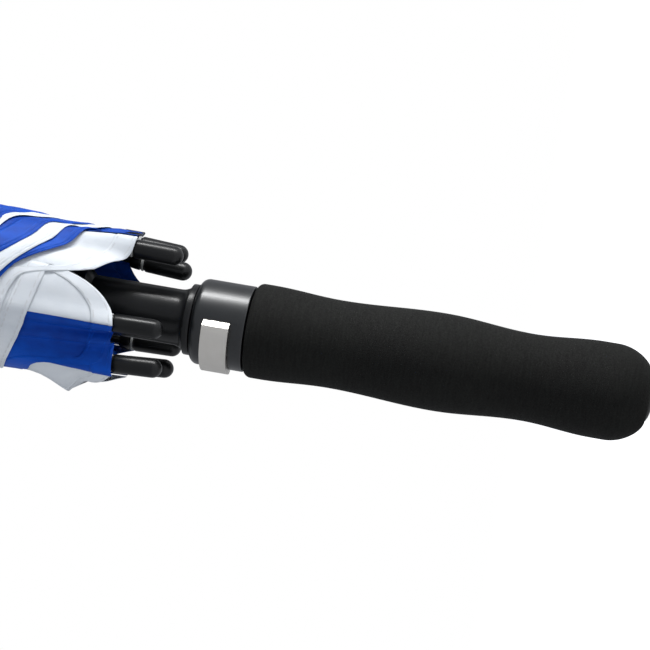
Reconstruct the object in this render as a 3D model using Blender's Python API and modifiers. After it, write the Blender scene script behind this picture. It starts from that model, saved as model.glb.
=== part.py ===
"""Golf umbrella with an automatic opening frame, furled, in metres with +Z up the shaft.

The origin is the centre of the butt's flat face. The grip is at the bottom and the ferrule at the
top, as the umbrella is held when it is open. Azimuths are measured from -Y (the front) towards +X.
"""
import math

import bmesh
import bpy
from mathutils import Matrix, Vector

MM = 0.001
GAP = 0.3 * MM                # clearance between pieces that touch
SLIM = 0.05 * MM              # a plate is this much thinner each side than the round eye it joins

# Driving dimensions
RIBS = 8
FIRST_RIB = -14.0             # azimuth of rib 1, degrees
STEP = 360.0 / RIBS
SHAFT_R, SHAFT_WALL = 7.0 * MM, 1.8 * MM
GRIP_TOP = 168.0 * MM         # length of the foam
CORE_WALL = 2.7 * MM
COLLAR_HEIGHT, COLLAR_WALL, COLLAR_FLOOR = 23.0 * MM, 3.2 * MM, 2.0 * MM
ARM = 352.5 * MM              # rib hinge to rib joint, and rib joint to runner hinge
JOINT_OUT = 16.0 * MM         # furled rib joints, further out than the hinges
TIP_OUT = 14.5 * MM           # furled rib ends, further out than the hinges
RIB_BOW = 15.0 * MM           # how far a rib bows out from the line between its ends
RIB_ROD, RIB_ROD_END = 2.0 * MM, 1.5 * MM
TIP_TWIST = (0, 41, 19, 11, 0, 0, -16, 0)   # how far each furled tip sits round from its hinge, degrees
TIP_LENGTH, TIP_BODY, TIP_BORE_DEPTH = 27 * MM, 4.0 * MM, 15 * MM
STRETCHER_ROD = 1.7 * MM
STRUT, STRUT_HALF = 70.0 * MM, 0.7 * MM   # its length between eyes, and half its thickness
BUTTON_TURN = -47.0           # azimuth of the release button, degrees
BUTTON_LOW, BUTTON_HEIGHT = 6.1 * MM, 11.2 * MM   # above the foot of the collar
BUTTON_PROUD, BUTTON_HALF = 2.1 * MM, 15.9 * MM
LATCH_UP, LATCH_THICK, LATCH_CATCH = 10.8 * MM, 2.0 * MM, 1.2 * MM
RUNNER_UP = 52.2 * MM         # runner hinges above the collar
TIP_UP = 8.5 * MM             # rib ends above the collar
SHAFT_OVER, FERRULE_OVER = 32 * MM, 40 * MM   # shaft above the crown's hinges, ferrule above the shaft
CLOTH = 1.2 * MM
WIRE, EYE, EYE_HALF = 0.6 * MM, 2.2 * MM, 1.0 * MM
PIN = 0.85 * MM
SMALL_SIDES = 8

# Worked out from them
SHAFT_BORE = SHAFT_R - SHAFT_WALL
HEAD_IN = SHAFT_R + GAP
CORE_R = HEAD_IN + CORE_WALL
RING_R = SHAFT_R + 4.5 * MM   # radius of the wires that the ribs and stretchers hang on
HEAD_R = RING_R + 2.7 * MM
SKIRT_R = HEAD_IN + 3.3 * MM  # the runner's skirt, which drops into the collar
POCKET_R = SKIRT_R + 4.3 * MM
COLLAR_R = POCKET_R + COLLAR_WALL
COLLAR_LOW = GRIP_TOP + 0.5 * MM
COLLAR_HIGH = COLLAR_LOW + COLLAR_HEIGHT
LATCH_LOW = COLLAR_LOW + LATCH_UP
LATCH_HIGH = LATCH_LOW + LATCH_THICK
JOINT_R, TIP_R = RING_R + JOINT_OUT, RING_R + TIP_OUT
LEAN = math.asin(JOINT_OUT / ARM)
RUNNER_Z = COLLAR_HIGH + RUNNER_UP
CROWN_Z = RUNNER_Z + 2 * ARM * math.cos(LEAN)
JOINT_Z = CROWN_Z - ARM * math.cos(LEAN)
TIP_Z = COLLAR_HIGH + TIP_UP
STRUT_R = RING_R + STRUT * math.sin(LEAN)
STRUT_Z = RUNNER_Z + STRUT * math.cos(LEAN)
SLIDER_Z = RUNNER_Z + 2 * STRUT * math.cos(LEAN)
STRUT_SIDE = STRETCHER_ROD + GAP + SLIM + STRUT_HALF   # the struts run beside the stretchers
SLIDER_RING_R = math.hypot(RING_R, STRUT_SIDE)
SHAFT_TOP = CROWN_Z + SHAFT_OVER
TOP_Z = SHAFT_TOP + FERRULE_OVER
EYE_HOLE, PIN_HOLE = WIRE + GAP, PIN + GAP


def new_scene():
    """Empty the file and make the two collections."""
    for item in list(bpy.data.objects):
        bpy.data.objects.remove(item)
    made = []
    for name in ("golf_umbrella", "cutters"):
        collection = bpy.data.collections.new(name)
        bpy.context.scene.collection.children.link(collection)
        made.append(collection)
    return made


PARTS, CUTTERS = new_scene()


def material(name, colour, roughness, metallic=0.0):
    """A plain finish."""
    made = bpy.data.materials.new(name)
    made.use_nodes = True
    shader = made.node_tree.nodes["Principled BSDF"]
    shader.inputs["Base Color"].default_value = (*colour, 1)
    shader.inputs["Roughness"].default_value = roughness
    shader.inputs["Metallic"].default_value = metallic
    return made


FOAM = material("grip_foam", (0.016, 0.016, 0.015), 0.85)
BLACK = material("black_plastic", (0.012, 0.012, 0.013), 0.35)
SATIN = material("collar_satin", (0.02, 0.021, 0.022), 0.3, 0.5)
SILVER = material("button_silver", (0.6, 0.59, 0.57), 0.3, 0.8)
STEEL = material("spring_steel", (0.5, 0.5, 0.5), 0.3, 1.0)
FIBRE = material("black_fibreglass", (0.014, 0.014, 0.016), 0.4)
BLUE = material("cloth_blue", (0.02, 0.07, 0.36), 0.7)
WHITE = material("cloth_white", (0.8, 0.83, 0.87), 0.7)


def link(name, mesh, look=None):
    """A new object among the parts, in its own material."""
    thing = bpy.data.objects.new(name, mesh)
    if look:
        mesh.materials.clear()
        mesh.materials.append(look)
    PARTS.objects.link(thing)
    return thing


def as_cutter(thing):
    """Move an object to the cutters, where nothing renders."""
    for collection in list(thing.users_collection):
        collection.objects.unlink(thing)
    CUTTERS.objects.link(thing)
    thing.hide_render = True
    thing.display_type = "WIRE"
    return thing


def boolean(thing, other, operation="DIFFERENCE"):
    """Cut one object by another, or join it on."""
    step = thing.modifiers.new(other.name, "BOOLEAN")
    step.operation = operation
    step.solver = "EXACT"
    step.object = as_cutter(other)


def baked(thing, name, look):
    """The object's shape with its modifiers applied, as a mesh of its own."""
    bpy.context.view_layer.update()
    view = bpy.context.evaluated_depsgraph_get()
    mesh = bpy.data.meshes.new_from_object(thing.evaluated_get(view))
    shape = bmesh.new()
    shape.from_mesh(mesh)
    bmesh.ops.remove_doubles(shape, verts=shape.verts, dist=0.002 * MM)
    shape.to_mesh(mesh)
    shape.free()
    place = thing.matrix_world.copy()
    bpy.data.objects.remove(thing)
    made = link(name, mesh, look)
    made.matrix_world = place
    return made


def block(name, low, high):
    """A box between two corners."""
    shape = bmesh.new()
    bmesh.ops.create_cube(shape, size=1)
    size = Vector(high) - Vector(low)
    bmesh.ops.scale(shape, vec=size, verts=shape.verts)
    bmesh.ops.translate(shape, vec=Vector(low) + size / 2, verts=shape.verts)
    mesh = bpy.data.meshes.new(name)
    shape.to_mesh(mesh)
    shape.free()
    return link(name, mesh)


def rod(name, start, end, radius, sides=SMALL_SIDES, look=None):
    """A cylinder between two points."""
    start, end = Vector(start), Vector(end)
    shape = bmesh.new()
    bmesh.ops.create_cone(shape, cap_ends=True, segments=sides, radius1=radius, radius2=radius,
                          depth=(end - start).length)
    turn = Vector((0, 0, 1)).rotation_difference(end - start).to_matrix().to_4x4()
    bmesh.ops.transform(shape, matrix=Matrix.Translation((start + end) / 2) @ turn, verts=shape.verts)
    mesh = bpy.data.meshes.new(name)
    shape.to_mesh(mesh)
    shape.free()
    return link(name, mesh, look)


def turned(name, profile, look=None, steps=24, closed=True):
    """A turned piece from a profile of (radius, height), down its outer side and up its bore."""
    shape = bmesh.new()
    points = [shape.verts.new((radius, 0, height)) for radius, height in profile]
    for a, b in zip(points, points[1:] + ([points[0]] if closed else [])):
        shape.edges.new((a, b))
    mesh = bpy.data.meshes.new(name)
    shape.to_mesh(mesh)
    shape.free()
    piece = link(name, mesh, look)
    screw = piece.modifiers.new("turn", "SCREW")
    screw.steps = screw.render_steps = steps
    screw.use_merge_vertices = True
    screw.merge_threshold = 0.00001
    screw.use_smooth_shade = True
    return piece


def wire(name, points, radius, look, sides=8, closed=False, thin=None):
    """A wire or rod along points, with an optional radius at each point."""
    curve = bpy.data.curves.new(name, "CURVE")
    curve.dimensions = "3D"
    curve.bevel_depth = radius
    curve.bevel_resolution = (sides - 4) // 2
    curve.use_fill_caps = not closed
    spline = curve.splines.new("POLY")
    spline.points.add(len(points) - 1)
    spline.use_cyclic_u = closed
    for i, point in enumerate(points):
        spline.points[i].co = (*point, 1)
        spline.points[i].radius = thin[i] if thin else 1
    curve.materials.append(look)
    piece = bpy.data.objects.new(name, curve)
    PARTS.objects.link(piece)
    return baked(piece, name, look)


def round_corner(radius, height, fillet, steps=3):
    """Points over a rounded outer top edge, from the top face to the side."""
    turns = [math.radians(90 - 90 * i / steps) for i in range(steps + 1)]
    return [(radius - fillet + fillet * math.cos(t), height - fillet + fillet * math.sin(t))
            for t in turns]


def facing(azimuth):
    """Unit vector that points out at an azimuth."""
    return Vector((math.sin(math.radians(azimuth)), -math.cos(math.radians(azimuth)), 0))


def stand(piece, i, offset=(0, 0, 0), lean=0.0):
    """Set a piece that is modelled in the plane of +X at rib i."""
    turn = Matrix.Rotation(math.radians(FIRST_RIB + STEP * i - 90), 4, "Z")
    piece.matrix_world = turn @ Matrix.Translation(offset) @ Matrix.Rotation(lean, 4, "Y")
    return piece


def copies(piece, name, offset, lean=0.0, shape=None):
    """Eight copies of a finished piece, one at each rib, each reshaped for its rib if shape is given."""
    for i in range(RIBS):
        mesh = piece.data.copy() if shape else piece.data
        if shape:
            shape(mesh, i)
        stand(link(f"{name}_{i + 1}", mesh), i, offset, lean)
    bpy.data.objects.remove(piece)


# ---------------------------------------------------------------- grip, core and shaft

LUG_OUT = SKIRT_R + 1.5 * MM  # outer face of the lug that the button's spring pushes on

SWELLS = ((22.2, 20.0), (51.5, 18.1), (88.7, 20.4), (132.0, 18.5), (161.5, 19.9))
BUTT_ROUND = 14.0 * MM


def grip_radius(height):
    """Radius of the foam between its swells and waists."""
    if height <= SWELLS[0][0] * MM:
        return SWELLS[0][1] * MM
    for (z0, r0), (z1, r1) in zip(SWELLS, SWELLS[1:]):
        if height <= z1 * MM:
            part = (height / MM - z0) / (z1 - z0)
            return (r0 + (r1 - r0) * (1 - math.cos(math.pi * part)) / 2) * MM
    return SWELLS[-1][1] * MM


def make_grip():
    """The foam, and the plug that closes its butt."""
    bore = CORE_R + GAP
    top = round_corner(grip_radius(GRIP_TOP), GRIP_TOP, 3 * MM, 2)
    first, last, gap = GRIP_TOP - 11 * MM, SWELLS[0][0] * MM, 9 * MM
    heights = [first - gap * k for k in range(1 + int((first - last) / gap))]
    sides = [(grip_radius(z), z) for z in heights]
    low = [math.radians(90 * i / 5) for i in range(1, 6)]
    butt_r = SWELLS[0][1] * MM
    butt = [(butt_r - (butt_r - bore - MM) * (1 - math.cos(a)),
             BUTT_ROUND * 1.3 * (1 - math.sin(a))) for a in low]
    turned("foam_grip", [(bore, GRIP_TOP)] + top + sides + butt + [(bore, 0)], FOAM, 20)
    plug = [(0, 18 * MM), (SHAFT_BORE - GAP, 18 * MM), (SHAFT_BORE - GAP, 6 * MM),
            (CORE_R, 6 * MM), (CORE_R, MM), (CORE_R - MM, 0), (0, 0)]
    turned("butt_plug", plug, BLACK, 20, closed=False)


def make_core():
    """The moulded core under the foam, with the collar that houses the release button."""
    low, high, pocket = COLLAR_LOW, COLLAR_HIGH, POCKET_R
    floor = low + COLLAR_FLOOR
    profile = [(pocket, high)] + round_corner(COLLAR_R, high, 3.5 * MM)
    profile += [(COLLAR_R, low), (CORE_R, low), (CORE_R, 6.5 * MM), (HEAD_IN, 6.5 * MM),
                (HEAD_IN, floor), (pocket, floor)]
    core = turned("handle_core", profile, SATIN, 28)
    turn = math.radians(BUTTON_TURN)
    side, sill = BUTTON_HALF + GAP, low + BUTTON_LOW - GAP
    window = block("button_window", (-side, -2 * COLLAR_R, sill),
                   (side, -1.9 * MM, sill + BUTTON_HEIGHT + 2 * GAP))
    lug = block("spring_lug", (-2 * MM, -LUG_OUT, low + MM),
                (2 * MM, -SKIRT_R - 0.6 * MM, LATCH_LOW - 0.8 * MM))
    window.rotation_euler.z = lug.rotation_euler.z = turn
    boolean(core, window)
    boolean(core, lug, "UNION")
    shaft = turned("shaft_tube", [(SHAFT_R, SHAFT_TOP), (SHAFT_R, 6.5 * MM), (SHAFT_BORE, 6.5 * MM),
                                  (SHAFT_BORE, SHAFT_TOP)], FIBRE, 20)
    pin_z, pin_r, pin_half = 60 * MM, 1.5 * MM, CORE_R - 0.4 * MM
    for thing in (core, shaft):
        hole = rod(f"{thing.name}_pin_hole", (-20 * MM, 0, pin_z), (20 * MM, 0, pin_z), pin_r + GAP)
        boolean(thing, hole)
    rod("handle_pin", (-pin_half, 0, pin_z), (pin_half, 0, pin_z), pin_r, look=STEEL)


# ---------------------------------------------------------------- release button

def make_button():
    """The pad, the latch plate that it pushes in, and the small coil that returns them."""
    turn = math.radians(BUTTON_TURN)
    low, inner, outer = COLLAR_LOW + BUTTON_LOW, POCKET_R + 1.7 * MM, COLLAR_R + BUTTON_PROUD
    high = low + BUTTON_HEIGHT
    edge = 0.8 * MM
    ring = [(inner, high), (outer - edge, high), (outer, high - edge), (outer, low + edge),
            (outer - edge, low), (inner, low)]
    pad = turned("release_button", ring, SILVER, 36)
    keep = block("button_keep", (-BUTTON_HALF, -2 * outer, low - MM), (BUTTON_HALF, -3 * MM, high + MM))
    keep.rotation_euler.z = turn
    boolean(pad, keep, "INTERSECT")
    out, hole_r, plate_r = 1.1 * MM, SKIRT_R + 0.8 * MM, POCKET_R - 1.4 * MM
    plate = rod("latch_plate", (0, -out, LATCH_LOW), (0, -out, LATCH_HIGH), plate_r, 20, SATIN)
    stem = block("latch_stem", (-4 * MM, 0.8 * MM - inner, LATCH_LOW),
                 (4 * MM, -hole_r - 2 * MM, LATCH_HIGH))
    plate.rotation_euler.z = stem.rotation_euler.z = turn
    boolean(plate, stem, "UNION")
    for name, centre in (("near", out - 0.6 * MM), ("far", out + 0.6 * MM)):
        hole = rod(f"latch_hole_{name}", (0, -centre, LATCH_LOW - MM),
                   (0, -centre, LATCH_HIGH + MM), hole_r, 20)
        hole.rotation_euler.z = turn
        boolean(plate, hole)
    coil_r, coil_wire, turns, per_turn = 1.2 * MM, 0.3 * MM, 3, 8
    near, far = LUG_OUT + coil_wire + GAP, inner - coil_wire - GAP - 0.1 * MM
    height = LATCH_LOW - 2.5 * MM
    outward = facing(BUTTON_TURN)
    side = Vector((0, 0, 1)).cross(outward)
    count = turns * per_turn
    points = []
    for k in range(count + 1):
        angle = math.tau * k / per_turn
        along = near + (far - near) * k / count
        points.append(outward * along + side * coil_r * math.cos(angle)
                      + Vector((0, 0, height + coil_r * math.sin(angle))))
    wire("button_spring", points, coil_wire, STEEL, 4)


# ---------------------------------------------------------------- slotted heads and wires

def slots(head, centre, opens_up, side=0.0, half=EYE_HALF + GAP):
    """Cut eight slots for the eyes and a groove for their wire, open at one end of the head."""
    far = 12 * MM if opens_up else -12 * MM
    near = EYE + 0.4 * MM
    near = -near if opens_up else near
    low, high = sorted((centre + near, centre + far))
    for i in range(RIBS):
        cutter = block(f"{head.name}_slot_{i + 1}", (RING_R - EYE - GAP, side - half, low),
                       (2 * HEAD_R, side + half, high))
        boolean(head, stand(cutter, i))


def groove(head, centre, opens_up, radius):
    """An annular groove that the wire lies in."""
    far = 12 * MM if opens_up else -12 * MM
    width = WIRE + GAP
    near = -width if opens_up else width
    low, high = sorted((centre + near, centre + far))
    ring = [(radius + width, high), (radius + width, low), (radius - width, low), (radius - width, high)]
    boolean(head, turned(f"{head.name}_groove", ring, steps=30))


def ring_wire(name, radius, height):
    """A ring of wire that threads the eyes of eight ribs or stretchers."""
    count = 3 * RIBS
    start = math.radians(FIRST_RIB - 90)
    points = [(radius * math.cos(start + math.tau * k / count),
               radius * math.sin(start + math.tau * k / count), height) for k in range(count)]
    wire(name, points, WIRE, STEEL, 4, closed=True)


def make_crown():
    """The slotted head on top of the shaft, its wire, the cap over it and the ferrule."""
    head = turned("crown_head", [(HEAD_R - MM, CROWN_Z + 5 * MM), (HEAD_R, CROWN_Z + 4 * MM),
                                 (HEAD_R, CROWN_Z - 4 * MM), (HEAD_IN, CROWN_Z - 4 * MM),
                                 (HEAD_IN, CROWN_Z + 5 * MM)], BLACK)
    groove(head, CROWN_Z, False, RING_R)
    slots(head, CROWN_Z, False)
    ring_wire("crown_wire", RING_R, CROWN_Z)
    low = CROWN_Z + 5.5 * MM
    cap = HEAD_R + 2.8 * MM
    turned("crown_cap", [(cap - 8 * MM, low + 12 * MM), (cap - 4.5 * MM, low + 9 * MM),
                         (cap - 1.5 * MM, low + 5 * MM), (cap, low + 1.5 * MM), (cap, low), (HEAD_IN, low),
                         (HEAD_IN, low + 12 * MM)], BLACK)
    base, shoulder = low + 12.5 * MM, SHAFT_TOP + 5 * MM
    socket = HEAD_IN + 1.5 * MM
    turned("ferrule", [(0, TOP_Z), (4.2 * MM, TOP_Z), (5 * MM, TOP_Z - MM), (socket, shoulder),
                       (socket, base + 3 * MM), (socket + 1.2 * MM, base + 2 * MM),
                       (socket + 1.2 * MM, base), (HEAD_IN, base),
                       (HEAD_IN, SHAFT_TOP + GAP), (0, SHAFT_TOP + GAP)], BLACK, 20, closed=False)


def make_runner():
    """The sleeve that slides on the shaft: catch skirt, flange, tube and slotted head."""
    tube, skirt, flange, catch = HEAD_IN + 4.5 * MM, SKIRT_R, SKIRT_R + 4.4 * MM, SKIRT_R - LATCH_CATCH
    seat, foot = COLLAR_HIGH + 0.5 * MM, COLLAR_LOW + 4 * MM
    head_low, head_high = RUNNER_Z - 5 * MM, RUNNER_Z + 4 * MM
    profile = [(HEAD_R, head_high), (HEAD_R, head_low), (tube, head_low - 2 * MM), (tube, seat + 6.5 * MM),
               (tube + 0.6 * MM, seat + 4.2 * MM), (flange - 0.6 * MM, seat + 3 * MM),
               (flange, seat + 2.4 * MM), (flange, seat), (skirt, seat), (skirt, LATCH_HIGH + GAP),
               (catch, LATCH_HIGH + GAP), (catch, LATCH_LOW - GAP), (skirt, LATCH_LOW - GAP),
               (skirt, foot + 0.7 * MM), (skirt - 0.7 * MM, foot), (HEAD_IN, foot), (HEAD_IN, head_high)]
    head = turned("runner", profile, BLACK)
    groove(head, RUNNER_Z, True, RING_R)
    slots(head, RUNNER_Z, True)
    ring_wire("runner_wire", RING_R, RUNNER_Z)


def make_slider():
    """The upper slotted head on the struts, and the coil that pulls it and the runner together."""
    low, high = SLIDER_Z - 4 * MM, SLIDER_Z + 5 * MM
    head = turned("slider", [(HEAD_R - MM, high), (HEAD_R, high - MM), (HEAD_R, low), (HEAD_IN, low),
                             (HEAD_IN, high)], BLACK)
    groove(head, SLIDER_Z, False, SLIDER_RING_R)
    slots(head, SLIDER_Z, False, STRUT_SIDE, STRUT_HALF + GAP)
    ring_wire("slider_wire", SLIDER_RING_R, SLIDER_Z)
    coil_r, coil_wire, turns, per_turn = SHAFT_R + 1.6 * MM, 0.6 * MM, 12, 8
    start, end = RUNNER_Z + 4 * MM + coil_wire + GAP, low - coil_wire - GAP
    count = turns * per_turn
    points = [(coil_r * math.cos(math.tau * k / per_turn), coil_r * math.sin(math.tau * k / per_turn),
               start + (end - start) * k / count) for k in range(count + 1)]
    wire("opening_spring", points, coil_wire, STEEL, 4)


# ---------------------------------------------------------------- ribs, stretchers and struts

RIB_CHORD = Vector((TIP_R - RING_R, 0, TIP_Z - CROWN_Z))


def rib_point(part):
    """A point on the rib's arc, from its hinge (0) to the end of its tip (1), about the hinge."""
    length = RIB_CHORD.length
    radius = length * length / (8 * RIB_BOW) + RIB_BOW / 2
    half = math.asin(length / 2 / radius)
    along = RIB_CHORD / length
    out = Vector((-along.z, 0, along.x))
    angle = half * (2 * part - 1)
    middle = RIB_CHORD / 2 + out * (RIB_BOW - radius)
    return middle + along * radius * math.sin(angle) + out * radius * math.cos(angle)


def rib_radius(height):
    """Distance of the rib's centre line from the shaft's axis at a height, when furled."""
    return RING_R + rib_point((CROWN_Z - height) / (CROWN_Z - TIP_Z)).x


def twist(mesh, i):
    """Turn the outer half of a rib a little round the shaft, most at its tip."""
    for vertex in mesh.vertices:
        depth = JOINT_Z - CROWN_Z - vertex.co.z
        if depth > 0:
            part = depth / (JOINT_Z - TIP_Z)
            turn = Matrix.Rotation(math.radians(TIP_TWIST[i]) * part * part, 3, "Z")
            centre = Vector((-RING_R, 0, 0))
            vertex.co = centre + turn @ (vertex.co - centre)


def make_ribs():
    """Bowed rods with an eye for the crown's wire and a lug for the stretcher."""
    count = 9
    plugged = TIP_BORE_DEPTH - MM
    first, last = 8 * MM / RIB_CHORD.length, 1 - (TIP_LENGTH - plugged) / RIB_CHORD.length
    parts = [first + (last - first) * k / count for k in range(count + 1)]
    thin = [1 - (1 - RIB_ROD_END / RIB_ROD) * max(0, 2 * part - 1) for part in parts]
    rib = wire("rib_rod", [rib_point(part) for part in parts], RIB_ROD, FIBRE, 6, thin=thin)
    neck_end = rib_point(first * 1.5)
    plate = EYE_HALF - SLIM
    neck = block("rib_neck", (-1.9 * MM, -plate, -neck_end.length), (1.9 * MM, plate, 0))
    neck.rotation_euler.y = -math.atan2(neck_end.x, -neck_end.z)
    boolean(rib, neck, "UNION")
    boolean(rib, rod("rib_eye", (0, -EYE_HALF, 0), (0, EYE_HALF, 0), EYE), "UNION")
    boolean(rib, rod("rib_eye_hole", (0, -3 * MM, 0), (0, 3 * MM, 0), EYE_HOLE))
    x, z = JOINT_R - RING_R, JOINT_Z - CROWN_Z
    rod_x = rib_radius(JOINT_Z) - RING_R
    boolean(rib, block("lug", (x, -plate, z - 2 * MM), (rod_x, plate, z + 2 * MM)), "UNION")
    boolean(rib, rod("lug_eye", (x, -EYE_HALF, z), (x, EYE_HALF, z), EYE), "UNION")
    boolean(rib, rod("lug_hole", (x, -3 * MM, z), (x, 3 * MM, z), PIN_HOLE))
    copies(baked(rib, "rib_shape", FIBRE), "rib", (RING_R, 0, CROWN_Z), shape=twist)


def make_tips():
    """Round-ended plastic tips, each with a bore that its rib plugs into."""
    length, radius, bore, deep = TIP_LENGTH, TIP_BODY, RIB_ROD_END + GAP + SLIM, TIP_BORE_DEPTH
    end, start = rib_point(1), rib_point(1 - length / RIB_CHORD.length)
    round_end = [(radius * math.sin(math.radians(a)), radius - radius * math.cos(math.radians(a)))
                 for a in (90, 60, 30, 0)]
    profile = [(0, length - deep), (bore, length - deep), (bore, length), (radius - MM, length),
               (radius - 0.6 * MM, length - 9 * MM), (radius, length - 10 * MM)] + round_end
    tip = turned("tip_shape", profile, BLACK, 10, closed=False)
    turn = Vector((0, 0, 1)).rotation_difference(start - end)
    tip.matrix_world = Matrix.Translation(end) @ turn.to_matrix().to_4x4()
    shaped = baked(tip, "tip_mesh", BLACK)
    shaped.data.transform(shaped.matrix_world)
    shaped.matrix_world = Matrix.Identity(4)
    copies(shaped, "rib_tip", (RING_R, 0, CROWN_Z), shape=twist)


def make_stretchers():
    """A stretcher hangs from the pin in its forked top, and its low eye is on the runner's wire."""
    fork, slot, body, plate = 2.6 * MM, EYE_HALF + GAP, STRETCHER_ROD, EYE_HALF - SLIM
    arm = rod("stretcher_rod", (0, 0, -8 * MM), (0, 0, 8 * MM - ARM), body, 8)
    boolean(arm, block("fork_block", (-1.9 * MM, -fork, -9 * MM), (1.9 * MM, fork, 0)), "UNION")
    boolean(arm, rod("fork_round", (0, -fork - SLIM, 0), (0, fork + SLIM, 0), 1.95 * MM), "UNION")
    boolean(arm, block("fork_slot", (-9 * MM, -slot, -4.2 * MM), (9 * MM, slot, 9 * MM)))
    boolean(arm, rod("fork_pin", (0, -fork + GAP, 0), (0, fork - GAP, 0), PIN, 8), "UNION")
    boolean(arm, block("low_neck", (-1.85 * MM, -plate, -ARM), (1.85 * MM, plate, 12 * MM - ARM)), "UNION")
    boolean(arm, rod("low_eye", (0, -EYE_HALF, -ARM), (0, EYE_HALF, -ARM), EYE), "UNION")
    boolean(arm, rod("low_hole", (0, -3 * MM, -ARM), (0, 3 * MM, -ARM), EYE_HOLE))
    high = STRUT - ARM
    boolean(arm, rod("strut_pin", (0, 0.6 * MM, high), (0, STRUT_SIDE + STRUT_HALF + 0.6 * MM, high),
                     PIN, 6), "UNION")
    copies(baked(arm, "stretcher_shape", FIBRE), "stretcher", (JOINT_R, 0, JOINT_Z), LEAN)


def make_struts():
    """Flat links from the stretchers up to the slider."""
    low, high, half = STRUT_SIDE - STRUT_HALF, STRUT_SIDE + STRUT_HALF, 1.6 * MM
    strut = block("strut_bar", (-half, low, 0), (half, high, STRUT))
    for name, z, hole in (("low", 0, PIN_HOLE), ("high", STRUT, PIN_HOLE)):
        boolean(strut, rod(f"strut_{name}_eye", (0, low - SLIM, z), (0, high + SLIM, z), 2.1 * MM), "UNION")
        boolean(strut, rod(f"strut_{name}_hole", (0, 0, z), (0, 6 * MM, z), hole, 8))
    copies(baked(strut, "strut_shape", STEEL), "strut", (STRUT_R, 0, STRUT_Z), -LEAN)


# ---------------------------------------------------------------- canopy

CLOTH_LOW, CLOTH_HIGH = TIP_Z + 15 * MM, CROWN_Z - 8.5 * MM
HEM_RISE = 12 * MM            # the hem climbs this far from one seam to the next


def cloth_radius(height):
    """Inner radius of the furled cloth, which lies on the ribs and stands wider round their tips."""
    room = RIB_ROD + 0.5 * MM
    widen = max(0, min(1, (TIP_Z + 45 * MM - height) / (15 * MM)))
    return rib_radius(height) + room + widen * (TIP_BODY - RIB_ROD + 0.2 * MM)


def make_canopy():
    """Eight gores, each furled round one eighth of the bundle, between two ribs."""
    across, down = 4, 9
    edge = 0.75
    middle = Vector((RING_R, RING_R * math.tan(math.radians(STEP / 2)), CROWN_Z))
    for i in range(RIBS):
        shape = bmesh.new()
        rows = []
        for k in range(across + 1):
            side = k / across
            angle = math.radians(edge + (STEP - 2 * edge) * side)
            low = CLOTH_LOW + HEM_RISE * (1 - side)
            row = []
            for m in range(down + 1):
                z = low + (CLOTH_HIGH - low) * m / down
                radius = cloth_radius(z)
                point = Vector((radius * math.cos(angle), radius * math.sin(angle), z))
                row.append(shape.verts.new(point - middle))
            rows.append(row)
        for a, b in zip(rows, rows[1:]):
            for m in range(down):
                shape.faces.new((a[m], b[m], b[m + 1], a[m + 1]))
        mesh = bpy.data.meshes.new(f"canopy_panel_{i + 1}")
        shape.to_mesh(mesh)
        shape.free()
        panel = stand(link(f"canopy_panel_{i + 1}", mesh, (WHITE, BLUE)[i % 2]), i, middle)
        thick = panel.modifiers.new("cloth", "SOLIDIFY")
        thick.thickness = CLOTH
        thick.offset = 1
    low, high = TIP_Z + 205 * MM, TIP_Z + 221 * MM
    inner = cloth_radius(high) + CLOTH + 0.5 * MM
    turned("tie_strap", [(inner + CLOTH, high), (inner + CLOTH, low), (inner, low), (inner, high)], BLUE, 24)


make_grip()
make_core()
make_button()
make_crown()
make_runner()
make_slider()
make_ribs()
make_tips()
make_stretchers()
make_struts()
make_canopy()
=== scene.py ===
# %% [markdown]
# # Dressing a folded golf umbrella
# The mechanical model of the umbrella is already made: shaft, ribs, stretchers, runner and springs,
# each on the body that it moves with. This lesson adds what the eye notices, which is the furled
# cloth, the foam handle and the satin collar. Everything is in metres, the shaft stands along Z, and
# the butt of the handle is at height 0.

# %% Load the mechanical model
import math
import bpy
import numpy as np
from mathutils import Matrix, Vector


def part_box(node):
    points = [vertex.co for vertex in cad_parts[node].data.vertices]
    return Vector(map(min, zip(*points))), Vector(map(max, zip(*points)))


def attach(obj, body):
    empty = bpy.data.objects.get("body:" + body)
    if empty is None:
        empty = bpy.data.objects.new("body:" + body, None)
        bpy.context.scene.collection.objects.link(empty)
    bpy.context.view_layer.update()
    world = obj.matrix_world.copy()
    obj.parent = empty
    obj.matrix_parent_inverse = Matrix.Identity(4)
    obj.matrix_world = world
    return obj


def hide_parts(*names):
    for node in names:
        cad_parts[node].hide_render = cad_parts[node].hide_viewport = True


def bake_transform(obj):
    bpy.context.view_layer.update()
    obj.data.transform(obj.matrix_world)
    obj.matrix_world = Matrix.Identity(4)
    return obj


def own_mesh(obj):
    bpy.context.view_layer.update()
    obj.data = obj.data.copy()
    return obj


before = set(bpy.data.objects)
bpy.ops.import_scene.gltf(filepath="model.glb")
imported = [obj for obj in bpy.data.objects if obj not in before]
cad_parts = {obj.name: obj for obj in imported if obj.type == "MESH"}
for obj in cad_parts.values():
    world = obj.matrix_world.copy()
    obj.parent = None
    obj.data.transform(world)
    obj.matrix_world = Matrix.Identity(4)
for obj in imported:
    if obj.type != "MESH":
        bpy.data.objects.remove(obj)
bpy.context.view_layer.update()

MM = 0.001
RIBS = 8
FIRST_RIB, STEP = -14.0, 45.0


def outward(turn):
    """Unit vector that points away from the shaft. Turn 0 faces the camera, 90 is along X."""
    return Vector((math.sin(math.radians(turn)), -math.cos(math.radians(turn)), 0))


# %% [markdown]
# ## Camera
# The umbrella stands along Z, but it is seen lying down with its handle to the right, so the camera
# is rolled on its side. Its axes are worked out from the direction it looks in and the roll, because
# a camera that is turned with plain angles is hard to roll round its own line of sight.

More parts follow.
